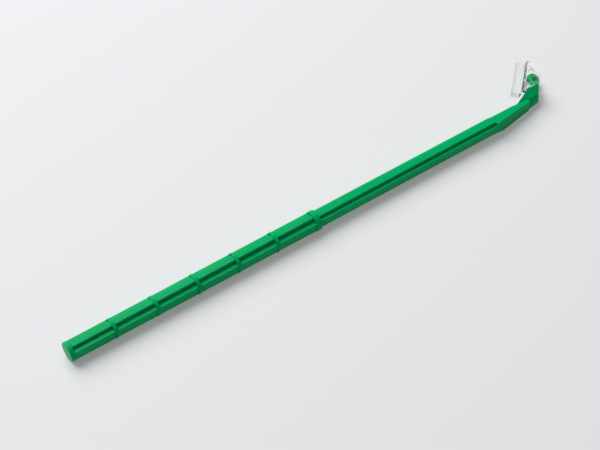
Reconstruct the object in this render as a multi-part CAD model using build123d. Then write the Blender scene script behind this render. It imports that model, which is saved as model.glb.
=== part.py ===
from build123d import *
import math
import os

# Cell scraper: a one-piece moulded handle with its own pivot pin, and a clear blade that
# swings on the pin. Millimetres. X runs along the handle from the butt to the head, Y to
# the blade's side and Z up, with the axis of the handle on X and the butt face at X = 0.

# ---- handle: discs and shaft ----
disc_butt = 8.5         # diameter of the end flange
disc_collar = 9.1       # and of the collar; the ribs between them grow in step
disc_round = 0.35       # rim rounding of flange and collar
flange_t = 1.9
first_rib = 20.3        # butt face to the middle of the first rib
rib_pitch = 19.0
rib_count = 5
rib_t = 1.4
rib_round = 0.2
collar_x = 115.2        # butt face to the near side of the collar
collar_t = 2.6
grip_butt = 7.3         # height and width of the grip's cross section at the butt
grip_collar = 7.8       # and where it meets the collar
grip_arm_h = 4.2        # thickness of the level arms of the grip
grip_arm_v = 2.8        # thickness of the upright arms of the grip
shaft_size = 6.85       # height and width of the thin shaft
shaft_arm_h = 3.9
shaft_arm_v = 3.3
arm_round = 0.3
groove_end = 213.2      # butt face to the end of the grooves, where the neck starts

# ---- neck, solid, bending to the blade's side ----
neck_turn = 9.5         # degrees between the front wall of the neck and the shaft
neck_back = 3.2         # the handle's axis to the back wall, where the neck starts
neck_back_taper = 3.4   # degrees that the back wall closes in
neck_chamfer = 1.6      # long edges on the back of the neck
neck_lead = 4.3         # over which its lower front edge comes down from the shaft's arm
neck_length = 22.3
neck_level = 3.0        # start of the neck to where its top begins to come down
neck_fall = 4.6         # degrees that the top comes down from there
neck_round = 1.0        # upright corner at the end of the front wall
neck_edge_round = 0.6   # long edge between the top and the front wall

# ---- shoulder block, with its sloping paddle face, at the end of the neck ----
block_length = 22.0     # before it is cut to shape
block_width = 14.0
block_floor = 2.6       # below the handle's axis
ridge_z = 4.25          # top of the paddle above the handle's axis
ridge_y = 5.6
ridge_t = 0.25          # flat along the ridge
paddle_slope = 32.0     # degrees from level
ledge_y = 2.0           # lower edge of the paddle face, where the steeper ledge starts
ledge_slope = 60.0      # degrees from level
ramp_x = 24.6           # start of the neck to the near end of the ridge
ramp_turn = 20.0        # degrees between the block's side wall and the shaft
tip_x = 29.3            # start of the neck to the lower corner of the tip
tip_y = 2.4
tip_turn = 48.5         # degrees between the end wall and the shaft
tip_draft = 7.3         # degrees that the end wall leans back
tip_round = 1.6         # upright corner between the front wall and the end wall
back_slope = 58.0       # degrees from level

# ---- lug and pivot pin ----
pin_x = 34.65           # start of the neck to the axis of the pin
pin_y = 13.35
lug_w = 4.9
lug_top = -1.0
lug_end_round = 2.0
lug_reach = 2.35        # lug beyond the axis of the pin
pin_d = 2.2
pin_head_over = 0.3     # head beyond the shank all round, wider than the bore
pin_head_t = 0.5
pin_head_round = 0.15

# ---- clear blade ----
blade_turn = 43.0       # degrees between the scraping edge and the shaft, as it rests
foot_l = 20.3           # length of the scraping foot
foot_w = 3.8
foot_t = 2.5
sole_rise = 0.05        # of the sole above the level that the collar stands on
root_w = 1.45           # from the foot's back edge to the plate
plate_t = 1.3
plate_w = 6.7           # from the root to the tip of the nose
nose_flat = 5.9         # straight length of the nose, its blunt corners included
nose_tip = 2.95         # straight length between the blunt corners
nose_depth = 6.25       # from the root to the corners of the nose
pin_from_foot = 4.55    # foot's back edge to the bore
web_t = 1.3             # thickness of the rising wall between foot and plate
nib_x = 3.5             # trimmed moulding gate on top of the plate, from the foot's middle
nib_y = 2.75            # and from the foot's back edge
nib_l = 1.4
nib_w = 0.5
nib_h = 0.15

# ---- fits ----
bore_clear = 0.05       # radial, pin in bore
face_clear = 0.1        # lug to plate and plate to pin head
rest_gap = 0.65         # shoulder to the blade's slanting edge, as the blade rests
cross_gap = 0.15        # and to its other slanting edge, with the blade turned crosswise
cross_turn = -90.0      # degrees between the scraping edge and the shaft, turned crosswise

# ---- worked out from the above ----
sole_z = sole_rise - disc_collar / 2
half = shaft_size / 2
grip_end = collar_x + collar_t / 2
pin = Vector(groove_end + pin_x, pin_y, 0)
plate_z = lug_top + face_clear
plate_top = plate_z + plate_t
pin_head_z = plate_top + face_clear
slant_run = (foot_l - nose_flat) / 2
slant = math.degrees(math.atan2(nose_depth, slant_run))    # slanting edge to scraping edge


def tan(degrees):
    return math.tan(math.radians(degrees))


def cos(degrees):
    return math.cos(math.radians(degrees))


def sin(degrees):
    return math.sin(math.radians(degrees))


slant_reach = foot_l / 2 * sin(slant) - (pin_from_foot - root_w) * cos(slant)   # from the pin
stop_y = pin_y - slant_reach - rest_gap
front_out = Vector(sin(neck_turn), -cos(neck_turn), 0)      # the way the front wall looks


def cross_section(x, size, arm_h, arm_v):
    """A plus of two bars with rounded corners, on the plane square to the handle at x."""
    plane = Plane(origin=(x, 0, 0), x_dir=(0, 1, 0), z_dir=(1, 0, 0))
    plus = Rectangle(size, arm_h) + Rectangle(arm_v, size)
    tips = [v for v in plus.vertices() if max(abs(v.X), abs(v.Y)) > size / 2 - 0.01]
    return plane * fillet(tips, arm_round)


def disc(x, thickness, rim):
    """A round plate on the handle's axis, from x on, with both rims rounded."""
    plane = Plane(origin=(x, 0, 0), z_dir=(1, 0, 0))
    radius = (disc_butt + (disc_collar - disc_butt) * x / collar_x) / 2
    plate = plane * Cylinder(radius, thickness, align=(Align.CENTER, Align.CENTER, Align.MIN))
    return fillet(plate.edges().filter_by(GeomType.CIRCLE), rim)


def keep_behind(body, point, outward):
    """The part of the body behind a flat wall through the point."""
    return split(body, bisect_by=Plane(origin=point, z_dir=outward), keep=Keep.BOTTOM)


def behind_front_wall(body):
    """The front wall of the neck, which runs on along the block."""
    return keep_behind(body, (groove_end, -half, 0), front_out)


def front_wall(body):
    """The face of the body that looks most nearly the way the front wall does."""
    return body.faces().sort_by(lambda face: face.normal_at().dot(front_out))[-1]


def behind_end_wall(body):
    """The leaning wall that ends the block and the lug."""
    outward = (sin(tip_turn) * cos(tip_draft), -cos(tip_turn) * cos(tip_draft), sin(tip_draft))
    return keep_behind(body, (groove_end + tip_x, tip_y, -block_floor), outward)


def grip():
    butt = cross_section(0, grip_butt, grip_arm_h, grip_arm_v)
    front = cross_section(grip_end, grip_collar, grip_arm_h, grip_arm_v)
    body = loft([butt, front], ruled=True)
    body += disc(0, flange_t, disc_round)
    for i in range(rib_count):
        body += disc(first_rib + i * rib_pitch - rib_t / 2, rib_t, rib_round)
    return body + disc(collar_x, collar_t, disc_round)


def shaft():
    section = cross_section(grip_end, shaft_size, shaft_arm_h, shaft_arm_v)
    return extrude(section, groove_end - grip_end)


def neck():
    """Bar whose front wall turns in, whose back closes in and whose top comes down."""
    plane = Plane(origin=(groove_end, 0, 0), x_dir=(0, 1, 0), z_dir=(1, 0, 0))
    y, c = neck_back, neck_chamfer
    section = plane * make_face(Polyline(
        (-half, half), (y - c, half), (y, half - c), (y, c - half),
        (y - c, -half), (-half, -half), close=True))
    body = extrude(section, neck_length)
    body = behind_front_wall(body)
    arm = Vector(groove_end, -half, -shaft_arm_h / 2)
    upright = Vector(groove_end, -shaft_arm_v / 2, -half)
    full = Vector(groove_end + neck_lead, neck_lead * tan(neck_turn) - half, -half)
    body = keep_behind(body, arm, (upright - arm).cross(full - arm))
    body = keep_behind(body, (groove_end, neck_back, 0),
                       (sin(neck_back_taper), cos(neck_back_taper), 0))
    body = keep_behind(body, (groove_end + neck_level, 0, half), (sin(neck_fall), 0, cos(neck_fall)))
    body = fillet(front_wall(body).edges().sort_by(Axis.X)[-1:], neck_round)
    return fillet(front_wall(body).edges().sort_by(Axis.Z)[-2:], neck_edge_round)


def block():
    """Shoulder at the end of the neck: the paddle face in front, the blade's stop behind."""
    ridge = groove_end + ramp_x
    box = Box(block_length, block_width, block_floor + ridge_z,
              align=(Align.CENTER, Align.MAX, Align.MIN))
    body = Pos(ridge, stop_y, -block_floor) * box
    body = keep_behind(body, (ridge, ridge_y, ridge_z), (0, -sin(paddle_slope), cos(paddle_slope)))
    back = (0, sin(back_slope), cos(back_slope))
    body = keep_behind(body, (ridge, ridge_y + ridge_t, ridge_z), back)
    ledge_z = ridge_z - (ridge_y - ledge_y) * tan(paddle_slope)
    body = keep_behind(body, (ridge, ledge_y, ledge_z), (0, -sin(ledge_slope), cos(ledge_slope)))
    body = behind_front_wall(body)
    body = keep_behind(body, (ridge, ridge_y, 0), (-sin(ramp_turn), cos(ramp_turn), 0))
    body = behind_end_wall(body)
    body = fillet(front_wall(body).edges().sort_by(Axis.X)[-1:], tip_round)
    away = slant_reach + cross_gap
    facing = cross_turn + 90 + slant
    wall = (pin.X - away * cos(facing), pin.Y - away * sin(facing), 0)
    return keep_behind(body, wall, (cos(facing), sin(facing), 0))


def lug():
    depth = pin_y + lug_reach - tip_y
    base = Pos(pin.X, pin_y + lug_reach - depth / 2) * Rectangle(lug_w, depth)
    far = base.vertices().sort_by(Axis.Y)[-2:]
    outline = fillet(far, lug_end_round)
    body = extrude(Pos(0, 0, -block_floor) * outline, block_floor + lug_top)
    return behind_end_wall(body)


def pivot_pin():
    up = (Align.CENTER, Align.CENTER, Align.MIN)
    shank = Pos(pin.X, pin.Y, lug_top) * Cylinder(pin_d / 2, pin_head_z - lug_top, align=up)
    head_r = pin_d / 2 + pin_head_over
    head = Pos(pin.X, pin.Y, pin_head_z) * Cylinder(head_r, pin_head_t, align=up)
    head = fillet(head.edges().sort_by(Axis.Z)[-1:], pin_head_round)
    return shank + head


def handle():
    return grip() + shaft() + neck() + block() + lug() + pivot_pin()


def blade():
    """Clear blade, drawn with its foot along X and its nose to -Y of the foot, then turned."""
    half_l = foot_l / 2
    far = root_w + plate_w
    corner = root_w + nose_depth
    nose, tip = nose_flat / 2, nose_tip / 2
    outline = make_face(Polyline((-half_l, -root_w), (half_l, -root_w), (nose, -corner),
                                 (tip, -far), (-tip, -far), (-nose, -corner), close=True))
    plate = extrude(Pos(0, 0, plate_z) * outline, plate_t)
    side = Plane.YZ
    profile = make_face(Polyline((foot_w, sole_z), (foot_w, sole_z + foot_t),
                                 (0, sole_z + foot_t), (-root_w, plate_top),
                                 (-root_w - web_t, plate_top), (-root_w - web_t, plate_z),
                                 (-root_w, plate_z), (0, sole_z), close=True))
    bar = Pos(-half_l, 0, 0) * extrude(side * profile, foot_l)
    body = plate + bar
    body -= Pos(0, -pin_from_foot, plate_z + plate_t / 2) * Cylinder(pin_d / 2 + bore_clear, 2 * plate_t)
    body += Pos(nib_x, -nib_y, plate_top) * Box(nib_w, nib_l, 2 * nib_h)
    at_pin = Pos(pin.X, pin.Y, 0) * Rot(0, 0, blade_turn) * Pos(0, pin_from_foot, 0)
    return at_pin * body


os.makedirs("parts", exist_ok=True)
for name, make in (("handle", handle), ("blade", blade)):
    solid = make()
    solid.label = name
    export_step(solid, f"parts/{name}.step")
    box = solid.bounding_box()
    print(name, "solids", len(solid.solids()), "volume", round(solid.volume, 1),
          "min", box.min, "max", box.max, "valid", solid.is_valid)
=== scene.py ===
import math

import bmesh
import bpy
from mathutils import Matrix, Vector


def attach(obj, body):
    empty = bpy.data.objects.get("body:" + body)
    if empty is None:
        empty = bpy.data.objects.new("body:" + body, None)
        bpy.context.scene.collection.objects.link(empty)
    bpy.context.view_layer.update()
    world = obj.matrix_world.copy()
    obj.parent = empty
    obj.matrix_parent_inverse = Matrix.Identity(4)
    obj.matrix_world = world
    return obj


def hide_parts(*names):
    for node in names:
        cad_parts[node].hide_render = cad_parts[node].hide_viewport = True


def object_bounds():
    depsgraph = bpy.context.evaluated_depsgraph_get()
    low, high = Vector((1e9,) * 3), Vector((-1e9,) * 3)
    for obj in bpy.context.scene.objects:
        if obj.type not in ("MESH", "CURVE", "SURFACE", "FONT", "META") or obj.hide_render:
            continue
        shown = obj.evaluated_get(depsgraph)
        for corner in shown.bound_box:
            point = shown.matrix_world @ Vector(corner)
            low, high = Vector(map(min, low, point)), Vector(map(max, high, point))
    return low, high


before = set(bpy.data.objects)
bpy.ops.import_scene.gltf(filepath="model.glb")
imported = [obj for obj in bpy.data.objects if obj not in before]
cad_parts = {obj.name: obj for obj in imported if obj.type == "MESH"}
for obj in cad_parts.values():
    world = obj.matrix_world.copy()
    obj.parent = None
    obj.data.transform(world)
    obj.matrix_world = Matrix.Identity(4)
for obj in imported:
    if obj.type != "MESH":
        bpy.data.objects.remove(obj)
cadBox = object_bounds()
mm = 0.001


def hexColour(code):
    # sRGB hex to the linear values that shaders take
    parts = [int(code[i:i + 2], 16) / 255 for i in (1, 3, 5)]
    linear = [c / 12.92 if c <= 0.04045 else ((c + 0.055) / 1.055) ** 2.4 for c in parts]
    return (*linear, 1.0)


def addNode(tree, kind, inputs=None, **settings):
    # inputs go by name or index, and a colour mix has its factor at 0 and its colours at 6 and 7
    node = tree.nodes.new(kind)
    for name, value in settings.items():
        setattr(node, name, value)
    for name, value in (inputs or {}).items():
        for single in value if isinstance(value, list) else [value]:
            if isinstance(single, bpy.types.NodeSocket):
                tree.links.new(single, node.inputs[name])
            else:
                node.inputs[name].default_value = single
    return node


def newMaterial(name):
    material = bpy.data.materials.new(name)
    material.use_nodes = True
    material.node_tree.nodes.clear()
    return material, material.node_tree


def addRayTest(tree, *kinds):
    # 1 on rays of any of these kinds, 0 on all others
    rays = addNode(tree, "ShaderNodeLightPath").outputs
    found = rays[kinds[0]]
    for kind in kinds[1:]:
        found = addNode(tree, "ShaderNodeMath", {0: found, 1: rays[kind]}, operation="MAXIMUM").outputs[0]
    return found


greenStyrene = dict(
    colour="#00b068",        # pigmented right through
    deeper="#00a65f",        # in the streaks of the melt
    ior=1.59,                # polystyrene
    specular=0.03,           # kept low, since the pale room veils the green otherwise
    roughness=0.27,          # satin skin off a worn mould
    roughSpread=0.05,        # to either side of that, over the grain
    grain=0.35,              # mm across the faint marks of the mould
    grainHeight=0.002,       # mm
    flowWidth=3.0,           # mm across the streaks
    flowLength=40.0,         # mm along them
)


def makeGreenStyrene(p):
    # moulded polystyrene: opaque and satin, with faint streaks along the flow
    material, tree = newMaterial("mouldedGreenPolystyrene")
    place = addNode(tree, "ShaderNodeTexCoord").outputs["Object"]
    along = addNode(tree, "ShaderNodeMapping", {"Vector": place, "Scale": (
        1 / (p["flowLength"] * mm), 1 / (p["flowWidth"] * mm), 1 / (p["flowWidth"] * mm))})
    streaks = addNode(tree, "ShaderNodeTexNoise", {
        "Vector": along.outputs[0], "Scale": 1.0, "Detail": 2.0})
    tone = addNode(tree, "ShaderNodeMix", {
        0: streaks.outputs[0], 6: hexColour(p["colour"]), 7: hexColour(p["deeper"])}, data_type="RGBA")
    grain = addNode(tree, "ShaderNodeTexNoise", {
        "Vector": place, "Scale": 1 / (p["grain"] * mm), "Detail": 1.0})
    rough = addNode(tree, "ShaderNodeMapRange", {
        "Value": grain.outputs[0],
        "To Min": p["roughness"] - p["roughSpread"], "To Max": p["roughness"] + p["roughSpread"]})
    bump = addNode(tree, "ShaderNodeBump", {
        "Height": grain.outputs[0], "Distance": p["grainHeight"] * mm})
    shader = addNode(tree, "ShaderNodeBsdfPrincipled", {
        "Base Color": tone.outputs[2], "Roughness": rough.outputs[0], "IOR": p["ior"],
        "Specular IOR Level": p["specular"], "Normal": bump.outputs[0]})
    addNode(tree, "ShaderNodeOutputMaterial", {"Surface": shader.outputs[0]})
    return material


clearStyrene = dict(
    colour="#ffffff",        # no pigment
    ior=1.55,                # a little under the green grade's
    roughness=0.01,          # polished mould
    wave=4.0,                # mm between the slow ripples of a cooled skin
    waveHeight=0.004,        # mm
    rim="#868d91",           # painted shade along the outer edges, in place of the dark lines that refraction draws there
    edgeShadeFrom=0.525,           # how convex the surface is where the painted edge shade starts, with 0.5 for flat
    edgeShadeFull=0.56,            # and where it is full
)


def makeClearStyrene(p):
    # moulded polystyrene without pigment: see-through and glossy, so that only its edges show, with
    # painted shade greying the convex ones
    material, tree = newMaterial("mouldedClearPolystyrene")
    place = addNode(tree, "ShaderNodeTexCoord").outputs["Object"]
    ripple = addNode(tree, "ShaderNodeTexNoise", {
        "Vector": place, "Scale": 1 / (p["wave"] * mm), "Detail": 0.0})
    bump = addNode(tree, "ShaderNodeBump", {
        "Height": ripple.outputs[0], "Distance": p["waveHeight"] * mm})
    convex = addNode(tree, "ShaderNodeNewGeometry").outputs["Pointiness"]
    # painted shade: grey on the most convex parts, standing in for refraction's dark lines
    edgeShadeMask = addNode(tree, "ShaderNodeMapRange", {
        "Value": convex, "From Min": p["edgeShadeFrom"], "From Max": p["edgeShadeFull"]})
    # the painted edge shade counts once, on the surface that is seen first
    seenEdgeShade = addNode(tree, "ShaderNodeMath", {
        0: edgeShadeMask.outputs[0], 1: addRayTest(tree, "Is Camera Ray")}, operation="MULTIPLY")
    # white, with the painted edge shade mixed in
    tone = addNode(tree, "ShaderNodeMix", {
        0: seenEdgeShade.outputs[0], 6: hexColour(p["colour"]), 7: hexColour(p["rim"])}, data_type="RGBA")
    shader = addNode(tree, "ShaderNodeBsdfPrincipled", {
        "Base Color": tone.outputs[2], "Roughness": p["roughness"], "IOR": p["ior"],
        "Transmission Weight": 1.0, "Normal": bump.outputs[0]})
    through = addNode(tree, "ShaderNodeBsdfTransparent", {"Color": tone.outputs[2]})
    # the room's light goes straight through, so that the table below is lit only once
    both = addNode(tree, "ShaderNodeMixShader", {
        0: addRayTest(tree, "Is Shadow Ray", "Is Diffuse Ray"),
        1: shader.outputs[0], 2: through.outputs[0]})
    addNode(tree, "ShaderNodeOutputMaterial", {"Surface": both.outputs[0]})
    return material


handlePlastic = makeGreenStyrene(greenStyrene)
bladePlastic = makeClearStyrene(clearStyrene)
print("materials made")


# the fluted grip and shaft grow from rules, and the head follows the construction
flutes = dict(  # mm, with the butt's face at X = 0
    gripEnd=116.5,
    buttSize=7.3,            # from tip to tip of the arms, at the butt
    growth=0.5,              # and what it gains up to the grip's end
    gripLevel=4.2,           # thickness of the level arm
    gripUpright=2.8,         # width of the upright arm
    shaftEnd=213.2,
    shaftSize=6.85,
    shaftLevel=3.9,
    shaftUpright=3.3,
    tipRound=0.3,            # along the arms' tips
    flangeThick=1.9,
    collarStart=115.2,
    collarThick=2.6,
    firstRib=20.3,           # middle of the rib nearest the butt
    ribPitch=19.0,
    ribThick=1.4,
    flangeRadius=4.25,
    collarRadius=4.546,
    rimRound=0.35,           # rims of the flange and the collar
    ribRound=0.2,
)
counts = dict(ribs=5, discSides=96, rimRings=9, tipSteps=4)  # rimRings has to be odd


def discGroup(sides, rings):
    # round plate across X from X = 0, with both rims rounded
    tree = bpy.data.node_groups.new("roundedDisc", "GeometryNodeTree")
    for name in ("thick", "radius", "round"):
        tree.interface.new_socket(name, in_out="INPUT", socket_type="NodeSocketFloat")
    tree.interface.new_socket("disc", in_out="OUTPUT", socket_type="NodeSocketGeometry")
    given = addNode(tree, "NodeGroupInput").outputs
    plate = addNode(tree, "GeometryNodeMeshCylinder", {
        "Vertices": sides, "Side Segments": rings, "Radius": given["radius"], "Depth": given["thick"]})
    position = addNode(tree, "GeometryNodeInputPosition")
    place = addNode(tree, "ShaderNodeSeparateXYZ", {0: position.outputs[0]})
    halfThick = addNode(tree, "ShaderNodeMath", {0: given["thick"], 1: 0.5}, operation="MULTIPLY")
    # the rings of the side wall go round a quarter circle, from the middle pair out to the faces
    height = addNode(tree, "ShaderNodeMath", {0: place.outputs[2]}, operation="ABSOLUTE")
    innerRing = addNode(tree, "ShaderNodeMath", {
        0: halfThick.outputs[0], 1: float(rings)}, operation="DIVIDE")
    turn = addNode(tree, "ShaderNodeMapRange", {
        "Value": height.outputs[0], "From Min": innerRing.outputs[0], "From Max": halfThick.outputs[0],
        "To Min": 0.0, "To Max": math.pi / 2})
    rise = addNode(tree, "ShaderNodeMath", {0: turn.outputs[0]}, operation="SINE")
    spread = addNode(tree, "ShaderNodeMath", {0: turn.outputs[0]}, operation="COSINE")
    flat = addNode(tree, "ShaderNodeMath", {
        0: halfThick.outputs[0], 1: given["round"]}, operation="SUBTRACT")
    ringHeight = addNode(tree, "ShaderNodeMath", {
        0: rise.outputs[0], 1: given["round"], 2: flat.outputs[0]}, operation="MULTIPLY_ADD")
    side = addNode(tree, "ShaderNodeMath", {0: place.outputs[2]}, operation="SIGN")
    newHeight = addNode(tree, "ShaderNodeMath", {
        0: ringHeight.outputs[0], 1: side.outputs[0]}, operation="MULTIPLY")
    core = addNode(tree, "ShaderNodeMath", {0: given["radius"], 1: given["round"]}, operation="SUBTRACT")
    ringRadius = addNode(tree, "ShaderNodeMath", {
        0: spread.outputs[0], 1: given["round"], 2: core.outputs[0]}, operation="MULTIPLY_ADD")
    share = addNode(tree, "ShaderNodeMath", {
        0: ringRadius.outputs[0], 1: given["radius"]}, operation="DIVIDE")
    acrossX = addNode(tree, "ShaderNodeMath", {
        0: place.outputs[0], 1: share.outputs[0]}, operation="MULTIPLY")
    acrossY = addNode(tree, "ShaderNodeMath", {
        0: place.outputs[1], 1: share.outputs[0]}, operation="MULTIPLY")
    ring = addNode(tree, "ShaderNodeCombineXYZ", {
        0: acrossX.outputs[0], 1: acrossY.outputs[0], 2: newHeight.outputs[0]})
    rounded = addNode(tree, "GeometryNodeSetPosition", {
        "Geometry": plate.outputs[0], "Position": ring.outputs[0]})
    toSide = addNode(tree, "ShaderNodeCombineXYZ", {0: halfThick.outputs[0]})
    laid = addNode(tree, "GeometryNodeTransform", {
        "Geometry": rounded.outputs[0], "Translation": toSide.outputs[0],
        "Rotation": (0.0, math.pi / 2, 0.0)})
    addNode(tree, "NodeGroupOutput", {0: laid.outputs[0]})
    return tree


def addBar(tree, start, end, across, up, rounding, steps):
    # one rounded bar along X
    path = addNode(tree, "GeometryNodeCurvePrimitiveLine", {
        "Start": addNode(tree, "ShaderNodeCombineXYZ", {0: start}).outputs[0],
        "End": addNode(tree, "ShaderNodeCombineXYZ", {0: end}).outputs[0]})
    outline = addNode(tree, "GeometryNodeCurvePrimitiveQuadrilateral", {"Width": across, "Height": up})
    soft = addNode(tree, "GeometryNodeFilletCurve", {
        "Curve": outline.outputs[0], "Count": steps, "Radius": rounding}, mode="POLY")
    return addNode(tree, "GeometryNodeCurveToMesh", {
        "Curve": path.outputs[0], "Profile Curve": soft.outputs[0], "Fill Caps": True}).outputs[0]


def addGrowth(tree, bar, axis, growth, length):
    # the tips stand further out the nearer they are to the collar, along axis 1 for Y or 2 for Z
    position = addNode(tree, "GeometryNodeInputPosition")
    place = addNode(tree, "ShaderNodeSeparateXYZ", {0: position.outputs[0]})
    side = addNode(tree, "ShaderNodeMath", {0: place.outputs[axis]}, operation="SIGN")
    share = addNode(tree, "ShaderNodeMath", {0: place.outputs[0], 1: length}, operation="DIVIDE")
    reach = addNode(tree, "ShaderNodeMath", {0: growth, 1: 0.5}, operation="MULTIPLY")
    step = addNode(tree, "ShaderNodeMath", {
        0: share.outputs[0], 1: reach.outputs[0]}, operation="MULTIPLY")
    signed = addNode(tree, "ShaderNodeMath", {
        0: step.outputs[0], 1: side.outputs[0]}, operation="MULTIPLY")
    offset = addNode(tree, "ShaderNodeCombineXYZ", {axis: signed.outputs[0]})
    return addNode(tree, "GeometryNodeSetPosition", {
        "Geometry": bar, "Offset": offset.outputs[0]}).outputs[0]


def handleTree(sizes, counts):
    tree = bpy.data.node_groups.new("flutedHandle", "GeometryNodeTree")
    kinds = dict.fromkeys(sizes, "NodeSocketFloat")
    kinds.update(ribs="NodeSocketInt", head="NodeSocketObject", plastic="NodeSocketMaterial")
    sockets = {name: tree.interface.new_socket(name, in_out="INPUT", socket_type=kind)
               for name, kind in kinds.items()}
    tree.interface.new_socket("handle", in_out="OUTPUT", socket_type="NodeSocketGeometry")
    given = addNode(tree, "NodeGroupInput").outputs
    grip = 0.0, given["gripEnd"]
    shaft = given["gripEnd"], given["shaftEnd"]
    tip = given["tipRound"], counts["tipSteps"]
    # level arm and upright arm, first of the grip and then of the shaft
    bars = [
        addGrowth(tree, addBar(tree, *grip, given["buttSize"], given["gripLevel"], *tip),
                  1, given["growth"], given["gripEnd"]),
        addGrowth(tree, addBar(tree, *grip, given["gripUpright"], given["buttSize"], *tip),
                  2, given["growth"], given["gripEnd"]),
        addBar(tree, *shaft, given["shaftSize"], given["shaftLevel"], *tip),
        addBar(tree, *shaft, given["shaftUpright"], given["shaftSize"], *tip),
    ]
    plate = discGroup(counts["discSides"], counts["rimRings"])
    flange, collar, rib = [
        addNode(tree, "GeometryNodeGroup", {
            "thick": given[thick], "radius": given[radius], "round": given[rounding]}, node_tree=plate)
        for thick, radius, rounding in (
            ("flangeThick", "flangeRadius", "rimRound"),
            ("collarThick", "collarRadius", "rimRound"),
            ("ribThick", "flangeRadius", "ribRound"))]
    collarPlace = addNode(tree, "ShaderNodeCombineXYZ", {0: given["collarStart"]})
    seated = addNode(tree, "GeometryNodeTransform", {
        "Geometry": collar.outputs[0], "Translation": collarPlace.outputs[0]})
    halfRib = addNode(tree, "ShaderNodeMath", {0: given["ribThick"], 1: 0.5}, operation="MULTIPLY")
    firstFace = addNode(tree, "ShaderNodeMath", {
        0: given["firstRib"], 1: halfRib.outputs[0]}, operation="SUBTRACT")
    row = addNode(tree, "GeometryNodeMeshLine", {
        "Count": given["ribs"],
        "Start Location": addNode(tree, "ShaderNodeCombineXYZ", {0: firstFace.outputs[0]}).outputs[0],
        "Offset": addNode(tree, "ShaderNodeCombineXYZ", {0: given["ribPitch"]}).outputs[0]})
    # the ribs grow in step from the flange's size to the collar's
    ratio = addNode(tree, "ShaderNodeMath", {
        0: given["collarRadius"], 1: given["flangeRadius"]}, operation="DIVIDE")
    position = addNode(tree, "GeometryNodeInputPosition")
    along = addNode(tree, "ShaderNodeSeparateXYZ", {0: position.outputs[0]})
    growth = addNode(tree, "ShaderNodeMapRange", {
        "Value": along.outputs[0], "From Max": given["collarStart"],
        "To Min": 1.0, "To Max": ratio.outputs[0]})
    size = addNode(tree, "ShaderNodeCombineXYZ", {0: 1.0, 1: growth.outputs[0], 2: growth.outputs[0]})
    ribs = addNode(tree, "GeometryNodeInstanceOnPoints", {
        "Points": row.outputs[0], "Instance": rib.outputs[0], "Scale": size.outputs[0]})
    ribMesh = addNode(tree, "GeometryNodeRealizeInstances", {"Geometry": ribs.outputs[0]})
    head = addNode(tree, "GeometryNodeObjectInfo", {"Object": given["head"]})
    parts = [*bars, flange.outputs[0], seated.outputs[0], ribMesh.outputs[0], head.outputs["Geometry"]]
    whole = addNode(tree, "GeometryNodeMeshBoolean", {"Mesh 2": parts},
                    operation="UNION", solver="MANIFOLD")
    real = addNode(tree, "GeometryNodeRealizeInstances", {"Geometry": whole.outputs[0]})
    dressed = addNode(tree, "GeometryNodeSetMaterial", {
        "Geometry": real.outputs[0], "Material": given["plastic"]})
    addNode(tree, "NodeGroupOutput", {0: dressed.outputs[0]})
    return tree, sockets


edges = dict(  # mm, and degrees between faces
    headRound=0.22,          # at most, and the shortest edges hold it to about 0.003
    bladeRound=0.3,          # at most, and the shortest edges hold it to about 0.075
    segments=3,
    roundFrom=25.0,          # degrees that count as an edge to round
    creaseFrom=40.0,         # degrees that stay sharp in the shading
    flatWithin=1.0,          # degrees that count as one flat face
    mergeWithin=0.002,
    cutWithin=0.0001,
    cutBand=0.01,            # edges this near to the cut aren't rounded
)


def cleanCopy(nodeName):
    # merged copy of a construction node
    mesh = bmesh.new()
    mesh.from_mesh(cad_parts[nodeName].data)
    bmesh.ops.remove_doubles(mesh, verts=mesh.verts, dist=edges["mergeWithin"] * mm)
    return mesh


def dissolveFlats(mesh):
    # flat faces whole again
    bmesh.ops.dissolve_limit(mesh, angle_limit=math.radians(edges["flatWithin"]),
                             verts=mesh.verts, edges=mesh.edges)


def roundEdges(mesh, width, cut=None):
    # edges that lie in the cut across X stay as they are
    sharp = [e for e in mesh.edges if len(e.link_faces) == 2
             and e.calc_face_angle() > math.radians(edges["roundFrom"])
             and (cut is None or any(abs(v.co.x - cut) > edges["cutBand"] * mm for v in e.verts))]
    bmesh.ops.bevel(mesh, geom=sharp, offset=width * mm, segments=edges["segments"], profile=0.5,
                    affect="EDGES", clamp_overlap=True)


def toObject(name, mesh):
    data = bpy.data.meshes.new(name)
    mesh.to_mesh(data)
    mesh.free()
    piece = bpy.data.objects.new(name, data)
    bpy.context.scene.collection.objects.link(piece)
    return piece


def bakeModifiers(piece):
    evaluated = piece.evaluated_get(bpy.context.evaluated_depsgraph_get())
    made = bpy.data.meshes.new_from_object(evaluated)
    piece.modifiers.clear()
    old = piece.data
    piece.data = made
    made.name = piece.name
    bpy.data.meshes.remove(old)


def smoothFlats(piece):
    # rounds shade smooth, flats stay flat, and joints where walls meet stay sharp
    piece.data.shade_smooth()
    piece.data.set_sharp_from_angle(angle=math.radians(edges["creaseFrom"]))
    weigh = piece.modifiers.new("flats", "WEIGHTED_NORMAL")
    weigh.keep_sharp = True
    bakeModifiers(piece)


def headBlank():
    # the neck, shoulder, lug and pin, closed again where the shaft is cut off
    mesh = cleanCopy("handle")
    cut = flutes["shaftEnd"] * mm
    bmesh.ops.bisect_plane(mesh, geom=[*mesh.verts, *mesh.edges, *mesh.faces],
                           dist=edges["cutWithin"] * mm, plane_co=(cut, 0, 0), plane_no=(1, 0, 0),
                           clear_inner=True)
    rim = [e for e in mesh.edges if len(e.link_faces) == 1]
    bmesh.ops.holes_fill(mesh, edges=rim)
    dissolveFlats(mesh)
    roundEdges(mesh, edges["headRound"], cut)
    return toObject("headBlank", mesh)


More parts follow.
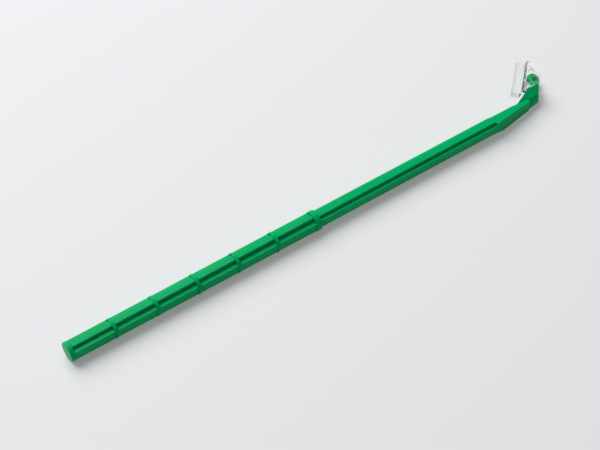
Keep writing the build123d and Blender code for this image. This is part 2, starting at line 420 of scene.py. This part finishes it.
def makeHandle():
    blank = headBlank()
    tree, sockets = handleTree(flutes, counts)
    piece = bpy.data.objects.new("handleMoulding", bpy.data.meshes.new("handleMoulding"))
    bpy.context.scene.collection.objects.link(piece)
    grow = piece.modifiers.new("grow", "NODES")
    grow.node_group = tree
    for name, value in flutes.items():
        grow[sockets[name].identifier] = value * mm
    grow[sockets["ribs"].identifier] = counts["ribs"]
    grow[sockets["head"].identifier] = blank
    grow[sockets["plastic"].identifier] = handlePlastic
    bakeModifiers(piece)
    bpy.data.objects.remove(blank)
    smoothFlats(piece)
    return piece


handle = makeHandle()
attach(handle, "handle")
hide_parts("handle")
print("handle made")


def makeBlade():
    mesh = cleanCopy("blade")
    dissolveFlats(mesh)
    roundEdges(mesh, edges["bladeRound"])
    piece = toObject("bladeMoulding", mesh)
    piece.data.materials.append(bladePlastic)
    smoothFlats(piece)
    return piece


blade = makeBlade()
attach(blade, "blade")
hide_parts("blade")
print("blade made")


studio = dict(
    table="#e8e8ec",
    paleShare=0.25,          # of the table's tone that stays even where it is in shadow
    paleTone=0.8,            # strength of that even tone, where 1 is white
    world=0.16,              # strength of the room's light
    surroundings=0.8,        # strength of the pale room as seen through the clear plastic
    tableSize=3.0,           # m
    airGap=0.03,             # mm, below the lowest point, so that the clear foot has air under it
    softbox=dict(power=38.0, size=1.65, place=(-0.1, 1.0, 1.3)),  # W and m
    lens=84.0,               # mm
    sensor=36.0,             # mm
    nearest=0.01,            # m
    azimuth=35.01,           # degrees that the view is turned from +Y
    elevation=49.5,          # and looks down
    distance=0.57981,        # m
    lookAt=(0.110382, 0.001443, 0.0),
)


def makeTable(p):
    material, tree = newMaterial("whiteTableTop")
    plain = addNode(tree, "ShaderNodeBsdfDiffuse", {"Color": hexColour(p["table"])})
    pale = addNode(tree, "ShaderNodeEmission", {"Strength": p["paleTone"]})
    seen = addRayTest(tree, "Is Camera Ray", "Is Glossy Ray", "Is Transmission Ray")
    share = addNode(tree, "ShaderNodeMath", {0: seen, 1: p["paleShare"]}, operation="MULTIPLY")
    both = addNode(tree, "ShaderNodeMixShader", {
        0: share.outputs[0], 1: plain.outputs[0], 2: pale.outputs[0]})
    addNode(tree, "ShaderNodeOutputMaterial", {"Surface": both.outputs[0]})
    half = p["tableSize"] / 2
    level = cadBox[0].z - p["airGap"] * mm
    data = bpy.data.meshes.new("tableTop")
    corners = [(-half, -half, level), (half, -half, level), (half, half, level), (-half, half, level)]
    data.from_pydata(corners, [], [(0, 1, 2, 3)])
    data.materials.append(material)
    table = bpy.data.objects.new("tableTop", data)
    bpy.context.scene.collection.objects.link(table)


def makeLight(p):
    world = bpy.data.worlds.new("studioWorld")
    world.use_nodes = True
    tree = world.node_tree
    tree.nodes.clear()
    level = addNode(tree, "ShaderNodeMapRange", {
        "Value": addRayTest(tree, "Is Camera Ray", "Is Transmission Ray"),
        "To Min": p["world"], "To Max": p["surroundings"]})
    room = addNode(tree, "ShaderNodeBackground", {"Color": (1, 1, 1, 1), "Strength": level.outputs[0]})
    addNode(tree, "ShaderNodeOutputWorld", {"Surface": room.outputs[0]})
    bpy.context.scene.world = world
    lamp = bpy.data.lights.new("softbox", "AREA")
    lamp.shape = "SQUARE"
    lamp.size = p["softbox"]["size"]
    lamp.energy = p["softbox"]["power"]
    softbox = bpy.data.objects.new("softbox", lamp)
    softbox.location = p["softbox"]["place"]
    aim = Vector(p["lookAt"]) - softbox.location
    softbox.rotation_euler = aim.to_track_quat("-Z", "Y").to_euler()
    bpy.context.scene.collection.objects.link(softbox)


def makeCamera(p):
    lens = bpy.data.cameras.new("camera")
    lens.lens = p["lens"]
    lens.sensor_width = p["sensor"]
    lens.clip_start = p["nearest"]
    camera = bpy.data.objects.new("camera", lens)
    turn, tilt = math.radians(p["azimuth"]), math.radians(p["elevation"])
    ahead = Vector((math.sin(turn) * math.cos(tilt), math.cos(turn) * math.cos(tilt), -math.sin(tilt)))
    camera.location = Vector(p["lookAt"]) - ahead * p["distance"]
    camera.rotation_euler = ahead.to_track_quat("-Z", "Y").to_euler()
    bpy.context.scene.collection.objects.link(camera)
    bpy.context.scene.camera = camera


makeTable(studio)
makeLight(studio)
makeCamera(studio)
bpy.context.scene.view_settings.view_transform = "Standard"
print("table, light and camera made")
